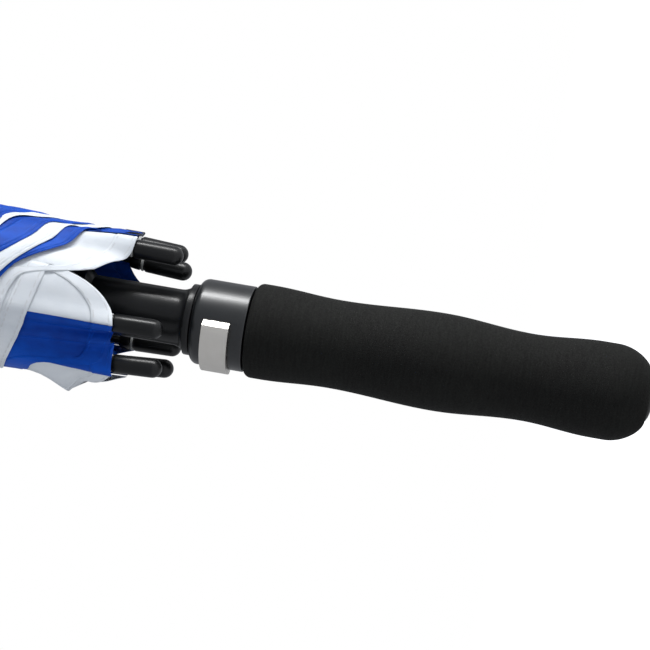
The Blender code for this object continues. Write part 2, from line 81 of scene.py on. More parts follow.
# %% Camera
eye, aim, roll = Vector((0.007, -0.75, 0.0615)), Vector((0.00715, 0, 0.1378)), math.radians(9.67)
looks = (aim - eye).normalized()
right = Vector((math.sin(roll), 0, -math.cos(roll)))
right = (right - right.dot(looks) * looks).normalized()
up = right.cross(looks)
camera = bpy.data.objects.new("camera", bpy.data.cameras.new("camera"))
camera.matrix_world = Matrix.Translation(eye) @ Matrix((right, up, -looks)).transposed().to_4x4()
camera.data.lens = 100.2    # millimetres, on a sensor 36 mm wide
bpy.context.collection.objects.link(camera)
bpy.context.scene.camera = camera
print("the camera stands", round((aim - eye).length, 3), "m away")

# %% [markdown]
# ## Shader maths in plain expressions
# Materials are node trees. Instead of placing every Math node by hand, one small class wraps a
# socket, so that an expression such as `1 - mask * 0.5` adds its nodes. Colours go through Mix and
# Vector Math, because a Math node turns a colour grey.


# %% A socket that can be added and multiplied
class Flow:
    """A socket of a material. Arithmetic on it adds Math nodes, and node() adds any other node."""

    def __init__(self, tree, socket):
        self.tree, self.socket = tree, socket

    def node(self, kind, settings=None, values=None, out=0):
        """A new node. Its settings are set first, then the values or links of its sockets."""
        made = self.tree.nodes.new(kind)
        for key, value in (settings or {}).items():
            setattr(made, key, value)
        for key, value in (values or {}).items():
            if isinstance(value, Flow):
                self.tree.links.new(value.socket, made.inputs[key])
            else:
                made.inputs[key].default_value = value
        return Flow(self.tree, made.outputs[out] if made.outputs else None)

    def maths(self, operation, *numbers):
        return self.node("ShaderNodeMath", {"operation": operation}, dict(enumerate(numbers)))

    def __add__(self, other):
        return self.maths("ADD", self, other)

    def __sub__(self, other):
        return self.maths("SUBTRACT", self, other)

    def __rsub__(self, other):
        return self.maths("SUBTRACT", other, self)

    def __mul__(self, other):
        return self.maths("MULTIPLY", self, other)

    def __lt__(self, other):
        return self.maths("LESS_THAN", self, other)

    def __gt__(self, other):
        return self.maths("GREATER_THAN", self, other)

    __radd__, __rmul__ = __add__, __mul__

    def sine(self):
        return self.maths("SINE", self)

    def distance(self):
        return self.maths("ABSOLUTE", self)

    def between(self, low, high):
        """0 below low, 1 above high, and a soft step between them."""
        return self.node("ShaderNodeMapRange", {"interpolation_type": "SMOOTHSTEP"},
                         {0: self, 1: low, 2: high})

    def mixed(self, first, second):
        """A colour: first where this mask is 0, second where it is 1."""
        return self.node("ShaderNodeMix", {"data_type": "RGBA"}, {0: self, 6: first, 7: second}, out=2)

    def noise(self, scale, detail=3.0, stretch=(1, 1, 1)):
        """Noise between 0 and 1, on a pattern that may be stretched along an axis."""
        placed = self.node("ShaderNodeMapping", {}, {0: self, 3: stretch})
        return self.node("ShaderNodeTexNoise", {}, {"Vector": placed, "Scale": scale, "Detail": detail})

    def bump(self, distance, strength=1.0):
        """A normal, bent as if this height in metres, times distance, stood on the surface."""
        return self.node("ShaderNodeBump", {},
                         {"Height": self, "Distance": distance, "Strength": strength})


print("Flow knows:", ", ".join(name for name in vars(Flow) if not name.startswith("_")))


# %% A fresh material
def linear(red, green, blue):
    """A screen colour, 0 to 255, as the linear colour that a shader takes."""
    parts = [c / 255 for c in (red, green, blue)]
    return [c / 12.92 if c < 0.04 else ((c + 0.055) / 1.055) ** 2.4 for c in parts] + [1]


def finish_named(name, **constants):
    """A material with a fresh Principled shader, its constant sockets set, and its Object coordinates."""
    material = bpy.data.materials.new(name)
    material.use_nodes = True
    tree = material.node_tree
    shader = tree.nodes["Principled BSDF"]
    for socket, value in constants.items():
        shader.inputs[socket.replace("_", " ")].default_value = value
    place = Flow(tree, tree.nodes.new("ShaderNodeTexCoord").outputs["Object"])
    return material, shader, place


def feed(shader, **flows):
    """Link expressions to sockets of a Principled shader."""
    for socket, flow in flows.items():
        flow.tree.links.new(flow.socket, shader.inputs[socket.replace("_", " ")])


print("mid grey on screen is", round(linear(128, 128, 128)[0], 3), "in a shader")


# %% [markdown]
# ## Hard finishes
# The moulded parts are black nylon with a faint orange-peel surface. The collar is lacquered a dark
# satin grey and the button is a brushed satin silver. Their colour hardly changes, so what tells
# them apart is roughness, and that is where most of the noise goes.


# %% Black plastics and painted rods
def moulded(name, colour, rough, peel, **constants):
    """A moulded or painted finish with cloudy roughness and an orange peel of some depth."""
    material, shader, place = finish_named(name, **constants)
    cloudy = place.noise(55, 4)
    fine = place.noise(900, 2)
    feed(shader, Base_Color=cloudy.mixed([c * 0.8 for c in colour[:3]] + [1],
                                         [c * 1.25 for c in colour[:3]] + [1]),
         Roughness=rough - 0.06 + cloudy * 0.12 + fine * 0.05,
         Normal=(cloudy * 0.3 + fine).bump(peel))
    return material


black_nylon = moulded("black_nylon", linear(20, 21, 22), 0.29, 0.00003, Specular_IOR_Level=0.32)
shaft_paint = moulded("shaft_paint", linear(24, 25, 27), 0.3, 0.00001, Specular_IOR_Level=0.45)
rod_glass = moulded("rod_fibreglass", linear(26, 26, 28), 0.42, 0.00003, Specular_IOR_Level=0.45)
print("hard finishes:", black_nylon.name, shaft_paint.name, rod_glass.name)

# %% Collar lacquer, button and steel
collar_lacquer, shader, place = finish_named("collar_lacquer", Metallic=0.25, Coat_Weight=0.3,
                                             Coat_Roughness=0.3, Specular_IOR_Level=0.85)
grain = place.noise(1500, 2, (1, 1, 0.2))
smudge = place.noise(70, 3)
feed(shader, Base_Color=smudge.mixed(linear(13, 16, 18), linear(20, 24, 27)),
     Roughness=0.27 + smudge * 0.1 + grain * 0.04, Normal=grain.bump(0.000005))

button_satin, shader, place = finish_named("button_satin", Metallic=0.6)
grain = place.noise(2200, 2, (0.06, 0.06, 1))
wear = place.noise(160, 4)
feed(shader, Base_Color=wear.mixed(linear(216, 212, 204), linear(232, 229, 223)),
     Roughness=0.3 + grain * 0.12 + wear * 0.06, Normal=grain.bump(0.000015))

plated_steel, shader, place = finish_named("plated_steel", Metallic=1.0)
scuff = place.noise(400, 4)
feed(shader, Base_Color=scuff.mixed(linear(150, 151, 153), linear(196, 197, 200)),
     Roughness=0.24 + scuff * 0.16, Normal=scuff.bump(0.00001))
print("metals:", collar_lacquer.name, button_satin.name, plated_steel.name)

# %% [markdown]
# ## Foam
# The handle is closed-cell foam, ground to shape on a wheel. Grinding opens the cells, so the skin
# is dull and faintly ribbed across the handle. Fine noise makes the cells and a second noise,
# squeezed along Z, makes the grinding marks.

# %% Ground foam
grip_foam, shader, place = finish_named("ground_foam", Specular_IOR_Level=0.2)
cells = place.node("ShaderNodeTexVoronoi", {}, {"Vector": place, "Scale": 1500.0})
marks = place.noise(150, 4, (1, 1, 7))
haze = place.noise(26, 4)
tone = marks * 0.6 + haze * 0.4
feed(shader, Base_Color=tone.between(0.3, 0.7).mixed(linear(17, 17, 16), linear(26, 27, 25)),
     Roughness=0.72 + cells * 0.2,
     Normal=(cells * 0.5 + marks).bump(0.00016, 0.8))
print("foam:", grip_foam.name)


# %% [markdown]
# ## Cloth
# The canopy is a close plain weave of polyester. Each gore carries a map in metres: across the gore
# and up from its hem. The weave, the two rows of hem stitching and the doubled cloth of the hem all
# follow that map, so they follow the cloth wherever it is folded.

# %% Woven polyester
HEM, THREAD_PITCH, STITCH_PITCH = 9 * MM, 0.42 * MM, 2.6 * MM


def woven(name, colour, shade, rough, shine):
    """Plain weave in a colour, with painted shade in its folds, a darker copy of the colour, and a painted
    lighter hem.
    """
    material, shader, place = finish_named(name, Sheen_Weight=0.04, Sheen_Roughness=0.35,
                                           Specular_IOR_Level=shine)
    shader.inputs["Sheen Tint"].default_value = colour
    cloth = place.node("ShaderNodeUVMap", {"uv_map": "cloth"})
    split = place.node("ShaderNodeSeparateXYZ", {}, {0: cloth})
    across, height = split, Flow(split.tree, split.socket.node.outputs[1])
    threads = (across * (math.tau / THREAD_PITCH)).sine() * (height * (math.tau / THREAD_PITCH)).sine()
    band = 1 - height.between(HEM - 0.4 * MM, HEM + 0.3 * MM)
    dash = (across * (math.tau / STITCH_PITCH)).sine() > -0.4
    rows = (((height - (HEM - 1.3 * MM)).distance() < 0.28 * MM)
            + ((height - 1.6 * MM).distance() < 0.28 * MM))
    stitches = rows * dash
    folds = place.noise(55, 3, (1, 1, 0.25))
    slack = place.noise(260, 4, (1, 1, 0.6))
    # Painted shade and light: the darker copy of the colour is painted where the fold noise is low, in the
    # hollows of the bumped folds, and the doubled hem is painted slightly lighter, as if it caught the
    # light.
    tone = (folds * 0.5 + slack * 0.25 + band * 0.04).between(0.15, 0.6)
    fold_shaded_colour = tone.mixed(shade, colour)
    thread = stitches.mixed(fold_shaded_colour, [c * 0.86 for c in colour[:3]] + [1])
    relief = (threads * 0.02 * MM + band * 0.3 * MM - stitches * 0.16 * MM + folds * 0.9 * MM
              + slack * 0.1 * MM)
    feed(shader, Base_Color=thread, Roughness=rough + slack * 0.12 - 0.06, Normal=relief.bump(1.0))
    return material


# The second colour of each cloth is the painted shade in its folds.
blue_cloth = woven("blue_cloth", linear(12, 88, 206), linear(5, 48, 138), 0.5, 0.2)
white_cloth = woven("white_cloth", linear(238, 243, 247), linear(222, 229, 236), 0.55, 0.4)
print("cloths:", blue_cloth.name, white_cloth.name)

# %% Thread
cotton_thread, shader, place = finish_named("cotton_thread")
plies = (place.node("ShaderNodeSeparateXYZ", {}, {0: place}, out=2) * (math.tau / (0.45 * MM))).sine()
fuzz = place.noise(1800, 3)
feed(shader, Base_Color=fuzz.mixed(linear(176, 178, 176), linear(222, 224, 222)),
     Roughness=0.75 + fuzz * 0.15, Normal=(plies * 0.5 + fuzz * 0.3).bump(0.0002))
print("thread:", cotton_thread.name)


# %% [markdown]
# ## Turning round parts
# The handle, collar, runner and tips are round. On a lathe a tool follows a profile, and here a
# circle does: it is extruded from one point of the profile to the next and resized to the new
# radius. The circle starts filled when the piece is solid, so that both ends are closed.


# %% Picking and settling a piece
def clear_selection():
    if bpy.context.object and bpy.context.object.mode != "OBJECT":
        bpy.ops.object.mode_set(mode="OBJECT")
    bpy.ops.object.select_all(action="DESELECT")


def pick(piece):
    """Select one piece and nothing else."""
    clear_selection()
    bpy.context.view_layer.objects.active = piece
    piece.select_set(True)


def settle(piece, name, angle=35):
    """Merge doubles, point faces outwards, put the origin at the world's and shade the piece."""
    bpy.ops.object.mode_set(mode="EDIT")
    bpy.ops.mesh.select_all(action="SELECT")
    bpy.ops.mesh.remove_doubles(threshold=0.000001)
    bpy.ops.mesh.normals_make_consistent(inside=False)
    bpy.ops.object.mode_set(mode="OBJECT")
    bpy.ops.object.transform_apply(location=True, rotation=True, scale=True)
    bpy.ops.object.shade_smooth_by_angle(angle=math.radians(angle))
    piece.name = piece.data.name = name
    return piece


print("a piece is settled with its origin at the world's")


# %% A small lathe
def turned(name, profile, sides=96, solid=False):
    """A profile of (radius, height) points turned round Z."""
    clear_selection()
    radius, height = profile[0]
    bpy.ops.mesh.primitive_circle_add(vertices=sides, radius=radius, location=(0, 0, height),
                                      fill_type="NGON" if solid else "NOTHING")
    piece = bpy.context.object
    bpy.ops.object.mode_set(mode="EDIT")
    for r, z in profile[1:] + ([] if solid else profile[:1]):
        bpy.ops.mesh.extrude_region_move(TRANSFORM_OT_translate={"value": (0, 0, z - height)})
        bpy.ops.transform.resize(value=(r / radius, r / radius, 1), center_override=(0, 0, z))
        radius, height = r, z
    return settle(piece, name)


def arc(centre_r, centre_z, radius, start, end, count=8):
    """Points of a rounded edge. Angle 0 points outwards and 90 up."""
    turns = [math.radians(start + (end - start) * k / count) for k in range(count + 1)]
    return [(centre_r + radius * math.cos(t), centre_z + radius * math.sin(t)) for t in turns]


def in_metres(profile):
    return [(r * MM, z * MM) for r, z in profile]


print("a rounded edge has", len(arc(0, 0, 1, 0, 90)), "points")


# %% Dressing and cutting
def dressed(piece, material, body, slot, *nodes):
    """Give a finished piece its material and its body, and hide the nodes that it stands for. The slot
    argument is not used.
    """
    piece.data.materials.clear()
    piece.data.materials.append(material)
    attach(piece, body)
    if nodes:
        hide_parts(*nodes)
    print(piece.name, "-", len(piece.data.polygons), "faces, rides on", body)
    return piece


def cut(piece, cutter):
    """Cut one piece with another, then remove the cutter."""
    pick(piece)
    change = piece.modifiers.new("cut", "BOOLEAN")
    change.object, change.operation, change.solver = cutter, "DIFFERENCE", "EXACT"
    bpy.ops.object.modifier_apply(modifier="cut")
    bpy.data.objects.remove(cutter)


def block(low, high, turn=0.0):
    """A box between two corners, turned round the shaft by some degrees."""
    clear_selection()
    low, high = Vector(low), Vector(high)
    bpy.ops.mesh.primitive_cube_add(size=1, location=(low + high) / 2)
    box = bpy.context.object
    box.scale = high - low
    bpy.ops.object.transform_apply(location=True, rotation=True, scale=True)
    box.rotation_euler.z = math.radians(turn)
    bpy.ops.object.transform_apply(location=True, rotation=True, scale=True)
    return box


def bevelled(piece, width, segments, sharp, smooth):
    """Round the edges that are sharper than one angle, and shade smooth up to another."""
    pick(piece)
    edge = piece.modifiers.new("edge", "BEVEL")
    edge.width, edge.segments = width, segments
    edge.limit_method, edge.angle_limit = "ANGLE", math.radians(sharp)
    bpy.ops.object.modifier_apply(modifier="edge")
    bpy.ops.object.shade_smooth_by_angle(angle=math.radians(smooth))


print("tools ready: dressed, cut, block, bevelled")

# %% [markdown]
# ## Foam handle
# The foam has two waists for the fingers and a big round butt. Its swells are cosine curves between
# the widest and narrowest places, so the hand feels no corner. A short real cushion would be inflated
# by simulation, but ground foam holds its shape, so the profile alone makes it.

# %% Foam handle
swells = [(22.2, 20.0), (51.5, 18.1), (88.7, 20.4), (132.0, 18.5), (161.5, 19.9)]
foam_side = []
for (z0, r0), (z1, r1) in zip(swells, swells[1:]):
    for k in range(12):
        part = k / 12
        foam_side.append((r0 + (r1 - r0) * (1 - math.cos(math.pi * part)) / 2, z0 + (z1 - z0) * part))
butt = [(20.0 - 9.4 * (1 - math.cos(math.radians(a))), 1.9 + 15 * (1 - math.sin(math.radians(a))) ** 0.8)
        for a in range(85, -1, -5)]
foam_profile = ([(10.6, 1.9)] + butt + foam_side + [(19.9, 161.5)] + arc(16.9, 165, 3, 0, 90)
                + [(12.0, 168.0), (10.5, 167.6)])
foam = turned("foam_handle", in_metres(foam_profile), 128)
dressed(foam, grip_foam, "grip_and_shaft", "grip_foam", "foam_grip")

# %% Plug that closes the butt
PLUG_R, STEM_R, PLUG_TOP = 10.0, 4.9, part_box("butt_plug")[1].z / MM
plug_profile = [(0.12, 0), (4.6, 0), (6.4, 0.3), (8.1, 0.8), (9.4, 1.4), (PLUG_R, 1.9), (PLUG_R, 5.7),
                (STEM_R, 5.7), (STEM_R, PLUG_TOP), (0.12, PLUG_TOP)]
plug = turned("butt_dome", in_metres(plug_profile), 72, solid=True)
dressed(plug, black_nylon, "grip_and_shaft", "black_plastic", "butt_plug")

# %% [markdown]
# ## Collar
# Above the foam sits a lacquered collar that hides the latch. It is a cup with a rounded lip and a
# window for the button. The cup is turned, the window is cut with a box, and a small bevel rounds
# the edges of the window, because a moulded edge is never sharp.

# %% Collar
TOP, FOOT, OUT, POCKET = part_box("handle_core")[1].z / MM, 168.5, 18.1, 14.9
collar_profile = ([(POCKET, TOP - 0.5), (POCKET + 0.5, TOP)] + arc(OUT - 3.5, TOP - 3.5, 3.5, 90, 0, 12)
                  + arc(OUT - 0.5, FOOT + 0.5, 0.5, 0, -90, 4)
                  + [(10.0, FOOT), (10.0, 6.5), (7.3, 6.5), (7.3, FOOT + 2), (POCKET, FOOT + 2)])
collar = turned("collar", in_metres(collar_profile), 128)
BUTTON_TURN = -47.0
cut(collar, block((-16.2 * MM, -40 * MM, 174.3 * MM), (14.2 * MM, -1.9 * MM, 186.1 * MM), BUTTON_TURN))
bevelled(collar, 0.35 * MM, 3, sharp=50, smooth=40)
dressed(collar, collar_lacquer, "grip_and_shaft", "collar_satin", "handle_core")

# %% [markdown]
# ## Release button
# The button is a slice of a ring, a little proud of the collar, with soft edges. A ring is turned and
# everything but the slice is cut away by bisecting with three planes, filling each cut, then all its
# edges are bevelled at once.

# %% Release button
inside, outside, button_low, button_high = 16.6 * MM, 20.2 * MM, 174.6 * MM, 185.8 * MM
ring = [(inside, button_high), (outside, button_high), (outside, button_low), (inside, button_low)]
button = turned("button", ring, 128)
bpy.ops.object.mode_set(mode="EDIT")
face_out, sideways = outward(BUTTON_TURN), outward(BUTTON_TURN + 90)
for point, normal in ((sideways * 13.9 * MM, sideways), (sideways * -15.9 * MM, -sideways),
                      (face_out * 3 * MM, -face_out)):
    bpy.ops.mesh.select_all(action="SELECT")
    bpy.ops.mesh.bisect(plane_co=point, plane_no=normal, use_fill=True, clear_outer=True)
bpy.ops.object.mode_set(mode="OBJECT")
bevelled(button, 0.95 * MM, 5, sharp=40, smooth=50)
dressed(button, button_satin, "button", "button_silver", "release_button")

# %% [markdown]
# ## Runner
# The runner slides on the shaft and its slotted head carries the stretchers. Its shape is a sleeve,
# a flange that rests on the collar and a head with eight slots, so it is turned and then slotted with
# one box that is set round the shaft eight times.

# %% Runner
RUNNER = 243.7    # height in millimetres of the pivots in the head
runner_profile = (
    [(7.3, RUNNER + 4), (13.9, RUNNER + 4), (14.2, RUNNER + 3.7), (14.2, RUNNER - 4.4),
     (13.6, RUNNER - 5.2), (11.8, RUNNER - 7.2), (11.8, 200)]
    + [(14.7 - 2.9 * math.sin(math.radians(a)), 194.9 + 5.1 * (1 - math.cos(math.radians(a))))
       for a in (75, 60, 45, 30, 15)]
    + [(14.9, 194.6), (15.0, 194.2), (15.0, 192.3), (14.8, 192), (10.6, 192), (10.6, 181.6),
       (9.4, 181.6), (9.4, 179.0), (10.6, 179.0), (10.6, 173.4), (9.9, 172.5), (7.3, 172.5)])
runner = turned("sliding_runner", in_metres(runner_profile), 72)
groove = [(12.4, RUNNER + 9), (12.4, RUNNER - 0.9), (10.6, RUNNER - 0.9), (10.6, RUNNER + 9)]
cut(runner, turned("groove", in_metres(groove), 72))
for i in range(RIBS):
    cut(runner, block((-1.3 * MM, -30 * MM, (RUNNER - 2.6) * MM), (1.3 * MM, -9 * MM, (RUNNER + 9) * MM),
                      FIRST_RIB + STEP * i))
pick(runner)
bpy.ops.object.shade_smooth_by_angle(angle=math.radians(35))
dressed(runner, black_nylon, "runner", "black_plastic", "runner")

# %% [markdown]
# ## Rib tips
# Each rib ends in a round-nosed plastic tip, and the corner of the cloth is sewn to it through a
# groove. The tip and its wound thread are modelled once, standing on the origin, and then copied to
# all eight ribs. The place and lean of each come from the vertices of the mechanical model.

# %% Rib tips with their thread
nose = [(4 * math.cos(math.radians(a)), 4 - 4 * math.sin(math.radians(a))) for a in range(84, -1, -12)]
tip_profile = ([(0.12, 0)] + nose
               + [(4.0, 8), (3.95, 19.8), (3.75, 20.2), (3.3, 20.6), (3.3, 22.4), (3.7, 22.8), (3.75, 23.2),
                  (3.5, 26.4), (3.1, 27.0), (1.7, 27.0)])
tip = turned("tip", in_metres(tip_profile), 40, solid=True)
thread = turned("thread", in_metres(arc(3.25, 21.5, 0.6, 0, 324, 9)), 40)
for i in range(RIBS):
    points = np.array([v.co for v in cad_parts[f"rib_tip_{i + 1}"].data.vertices])
    end = Vector(points[points[:, 2].argmin()])
    far = np.linalg.norm(points - np.array(end), axis=1)
    axis = (Vector(points[far > far.max() - 1.2 * MM].mean(0)) - end).normalized()
    stand = Matrix.Translation(end) @ Vector((0, 0, 1)).rotation_difference(axis).to_matrix().to_4x4()
    for source, material, slot_name in ((tip, black_nylon, "black_plastic"),
                                        (thread, cotton_thread, "cloth_white")):
        copy = bpy.data.objects.new(f"{source.name}_{i + 1}", source.data.copy())
        bpy.context.collection.objects.link(copy)
        copy.data.name = copy.name
        copy.data.transform(stand)
        nodes = (f"rib_tip_{i + 1}",) if source is tip else ()
        dressed(copy, material, f"rib_{i + 1}", slot_name, *nodes)
for source in (tip, thread):
    bpy.data.objects.remove(source)

# %% [markdown]
# ## Crown cap and ferrule
# The far end of the umbrella has a domed cap that keeps rain out of the crown, and a ferrule that
# finishes the shaft. Both are plain turned shapes, with many more sides than the mechanical ones.

# %% Crown cap and ferrule
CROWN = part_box("crown_cap")[0].z / MM - 5.5
cap_low, ferrule_high = CROWN + 5.5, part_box("ferrule")[1].z / MM
dome = [(7.3, 0), (16.6, 0), (17.0, 0.4), (17.0, 1.6), (16.6, 3.2), (15.6, 5.2), (13.9, 7.4), (12, 9.2),
        (10.2, 10.8), (9.4, 11.7), (9.0, 12), (7.3, 12)]
cap = turned("cap", in_metres([(r, cap_low + z) for r, z in dome]), 96)
dressed(cap, black_nylon, "grip_and_shaft", "black_plastic", "crown_cap")
base, shoulder = cap_low + 12.5, CROWN + 37
ferrule_profile = (
    [(0.12, CROWN + 32.3), (7.3, CROWN + 32.3), (7.3, base), (9.7, base), (10.0, base + 0.3),
     (10.0, base + 1.8), (9.5, base + 2.4), (8.8, base + 3), (8.8, shoulder), (8.5, shoulder + 3),
     (7.5, shoulder + 12), (5.4, ferrule_high - 3), (5.0, ferrule_high - 1)]
    + arc(4.0, ferrule_high - 1, 1, 10, 90, 5) + [(0.12, ferrule_high)])
ferrule = turned("end_ferrule", in_metres(ferrule_profile), 72, solid=True)
dressed(ferrule, black_nylon, "grip_and_shaft", "black_plastic", "ferrule")

# %% [markdown]
# ## Springs
# Two coils work inside the umbrella. They are already the right shape, so each is copied from the
# mechanical model and merged into one clean mesh.


# %% Springs
def coil_copy(node, name, body):
    """A clean copy of a spring, with its finish, on its body."""
    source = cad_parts[node]
    coil = bpy.data.objects.new(name, source.data.copy())
    bpy.context.collection.objects.link(coil)
    pick(coil)
    settle(coil, name, 60)
    dressed(coil, plated_steel, body, "steel", node)
    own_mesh(coil)


coil_copy("opening_spring", "opening_coil", "runner")
coil_copy("button_spring", "button_coil", "grip_and_shaft")

# %% [markdown]
# ## Furled canopy
# Eight gores, white and blue in turn, are sewn together along the ribs. To furl the umbrella you
# twist the loose cloth round the bundle, so each gore lies in a long fold that starts at one rib,
# wraps more than once round, folds back under itself and returns to the next rib. No cloth
# simulation is tried here. The fold is written down as a rule, which gives the same cloth each run:
# the further the cloth has wound, the further out it lies and the higher its hem.

# %% Where the ribs run
TIP_Z, JOINT_Z, CROWN_Z = 200 * MM, 595.84 * MM, 947.973 * MM
RING = 11.5 * MM                         # radius of the rib pivots in the crown
TWIST = (0, 41, 19, 11, 0, 0, -16, 0)    # degrees that each rib's lower end is pushed aside


def rib_radius(height):
    """Distance from the shaft's axis to a furled rib's centre line."""
    part = np.clip((CROWN_Z - np.asarray(height, float)) / (CROWN_Z - TIP_Z), 0, 1)
    return RING + 14.5 * MM * part + 4 * 15 * MM * part * (1 - part)


def rib_turn(which, height):
    """Azimuth of a rib in degrees, for any rib number, with the side twist of its lower half."""
    i = int(which) % RIBS
    part = np.clip((JOINT_Z - np.asarray(height, float)) / (JOINT_Z - TIP_Z), 0, 1.05)
    return FIRST_RIB + STEP * which + TWIST[i] * part ** 2


def lies_at(turn, height):
    """Azimuth of the cloth: an even turn round the bundle, pushed aside where ribs are off their place."""
    sector = (np.asarray(turn, float) - FIRST_RIB) / STEP
    base = np.floor(sector)
    part = sector - base
    part = part * part * (3 - 2 * part) * 0.35 + part * 0.65
    low, high = (np.vectorize(lambda k: TWIST[int(k) % RIBS])(k) for k in (base, base + 1))
    bend = np.clip((JOINT_Z - height) / (JOINT_Z - TIP_Z), 0, 1.05) ** 2
    return turn + bend * (low * (1 - part) + high * part)


print("ribs stand", [round(float(rib_radius(z * MM)) / MM, 1) for z in (220, 400, 600, 800)], "mm out")


# %% Swells and gaps of the cloth
def from_turn(turn, at):
    """Degrees from one direction round the shaft, between -180 and 180."""
    return (turn - at + 180) % 360 - 180


def ripple(turn, height, seed):
    """Smooth wandering between 0 and 1 over the bundle, the same for every layer."""
    rng = np.random.default_rng(seed)
    total = np.zeros(np.broadcast(turn, height).shape)
    for k in range(7):
        around, along, phase = rng.integers(1, 8), rng.uniform(8, 38), rng.uniform(0, math.tau)
        total += np.sin(np.radians(turn) * around + height * along * rng.choice((-1, 1)) + phase)
    return 0.5 + total / 9


def off_rib(turn, height):
    """How far round, in degrees, a place is from the nearest rib."""
    base = np.floor((turn - FIRST_RIB) / STEP)
    here = lies_at(turn, height)
    before = lies_at(FIRST_RIB + STEP * base, height)
    after = lies_at(FIRST_RIB + STEP * (base + 1), height)
    return np.maximum(0, np.minimum(here - before, after - here))


def layer_gap(height):
    """Room between one layer of the furled cloth and the next."""
    return (0.3 + 0.2 * np.exp(-(height - TIP_Z) / (90 * MM))) * MM


print("layers lie", round(1000 * layer_gap(TIP_Z), 2), "mm apart at the hem and",
      round(1000 * layer_gap(CROWN_Z), 2), "mm at the crown")


# %% How far out the cloth lies
# A loose corner of one gore hangs off the bundle at one place, and a few creases run up from the hem.
CORNER_TURN, CORNER_Z, CORNER_OUT = 276, 240.5 * MM, 6.5 * MM
TOP_TURN = 92                                                   # where the hem lies flat on a tip
CREASES = ((334, 4.6, 4.4), (318, 5.6, 4.8), (22, 1.2, 4))      # azimuth, depth in mm, width in degrees


def cloth_radius(turn, height, wound, above_hem):
    """Distance from the axis for cloth that has wound some degrees and is some way above its hem."""
    widen = np.clip((TIP_Z + 50 * MM - height) / (20 * MM), 0, 1)
    base = rib_radius(height) + 2.5 * MM + widen * 2.1 * MM
    away = 1 - np.exp(-(off_rib(turn, height) / 10) ** 2)
    low = np.exp(-np.maximum(height - TIP_Z - 20 * MM, 0) / (22 * MM))
    below = from_turn(turn, CORNER_TURN)
    hollow = away * (1.2 + 7.2 * low) * MM * np.exp(-wound / 75) * (1 - np.exp(-(below / 24) ** 2))
    swell = ripple(turn, height, 5) * (0.5 + 0.9 * low) * MM * (1 - np.exp(-wound / 60))
    swell += (ripple(turn * 3.1, height * 2.6, 23) - 0.5) * (0.35 + 1.1 * low) * MM
    topmost = np.exp(-(from_turn(turn, TOP_TURN) / 30) ** 2)
    flare = 0.9 * MM * np.exp(-above_hem / (6 * MM)) * ripple(turn * 1.7, height, 11) * (1 - topmost)
    past = (height - CORNER_Z) / MM
    peak = np.where(past > 0, np.clip(1 - past / 19, 0, 1), np.clip(1 + past / 5, 0, 1))
    corner = CORNER_OUT * np.exp(-(below / 15) ** 2) * peak
    crease = sum(deep * np.exp(-(from_turn(turn, at) / wide) ** 2) for at, deep, wide in CREASES)
    crease = crease * MM * np.exp(-np.maximum(height - TIP_Z - 24 * MM, 0) / (34 * MM))
    return base - hollow - crease + layer_gap(height) * wound / 45 + swell + flare + corner


print("the loose corner stands", round(CORNER_OUT / MM, 1), "mm out at", round(CORNER_Z / MM), "mm")

# %% How high each hem climbs
# Pairs of degrees wound and millimetres climbed, first for the layer that starts at the gore's
# further rib, then for the flap that starts at its nearer rib and tucks forward before it folds back.
hems = [
    [(0, 0), (6, 1), (14, 7), (20, 12), (23, 15), (25, 32), (27, 41), (35, 45), (48, 47), (77, 54),
     (110, 60), (720, 190)],
    [(0, 0), (3, 6), (35, 18), (55, 28), (62, 37), (69, 46), (79, 53), (89, 61), (720, 200)],
    [(0, 0), (5, 1), (48, 18), (98, 34), (108, 42), (117, 50), (126, 57), (720, 200)],
    [(0, 0), (5, 1), (45, 14), (91, 24), (143, 42), (150, 47), (158, 57), (720, 200)],
    [(0, 0), (5, 1), (45, 14), (90, 24), (135, 32), (184, 57), (720, 200)],
    [(0, 0), (5, 1), (20, 6), (45, 14), (90, 24), (135, 33), (180, 45), (225, 58), (720, 190)],
    [(0, 0), (6, 1), (14, 5), (24, 14), (29, 27), (45, 36), (110, 46), (720, 190)],
    [(0, 0), (8, 1), (34, 4), (38, 8), (42, 30), (50, 37), (66, 41), (110, 50), (720, 190)],
]
tucks = [24, 15, 15, 15, 20, 20, 20, 38]    # degrees that each flap goes forward before it folds
flaps = [[(0, 0), (5, 1), (tuck, tuck * 0.4)] for tuck in tucks]
flaps[0] = [(0, 0), (6, 1.5), (13, 7), (19, 16), (24, 31), (43, 35), (72, 40), (114, 50)]
flaps[7] = [(0, 0), (38, 3)]


def climb(table):
    """The rise in metres for each whole degree, with the corners of the table rounded."""
    rise = np.interp(np.arange(721.0), *zip(*table))
    return np.convolve(np.pad(rise, 2, mode="edge"), np.ones(5) / 5, "valid") * MM


def tucked(table, tuck, outer_rise):
    """The rise of a flap: its own table, then a little under the hem of the layer that covers it."""
    degrees = np.arange(721.0)
    rise = np.interp(degrees, *zip(*table)) * MM
    covered = np.interp(45 + degrees - 2 * tuck, np.arange(721), outer_rise) - 1.5 * MM
    rise = np.where(degrees > table[-1][0], np.maximum(covered, table[-1][1] * MM), rise)
    return np.convolve(np.pad(rise, 2, mode="edge"), np.ones(5) / 5, "valid")


print("hems have climbed", [round(float(climb(table)[90]) / MM) for table in hems], "mm in a quarter turn")


# %% One gore, furled
SEAM_Z, CLOTH_TOP = TIP_Z + 19.5 * MM, 939 * MM
HEM_ROWS = np.array([0, 0.4, 1.2, 3.5, 7.6, 8.2, 8.8, 10.5, 14, 19, 26]) * MM
LONG_ROWS = (np.linspace(0, 1, 48) ** 1.15)[1:]
CHORD = 0.765    # width of a gore at its hem, as a share of its length: a 45 degree sector laid flat


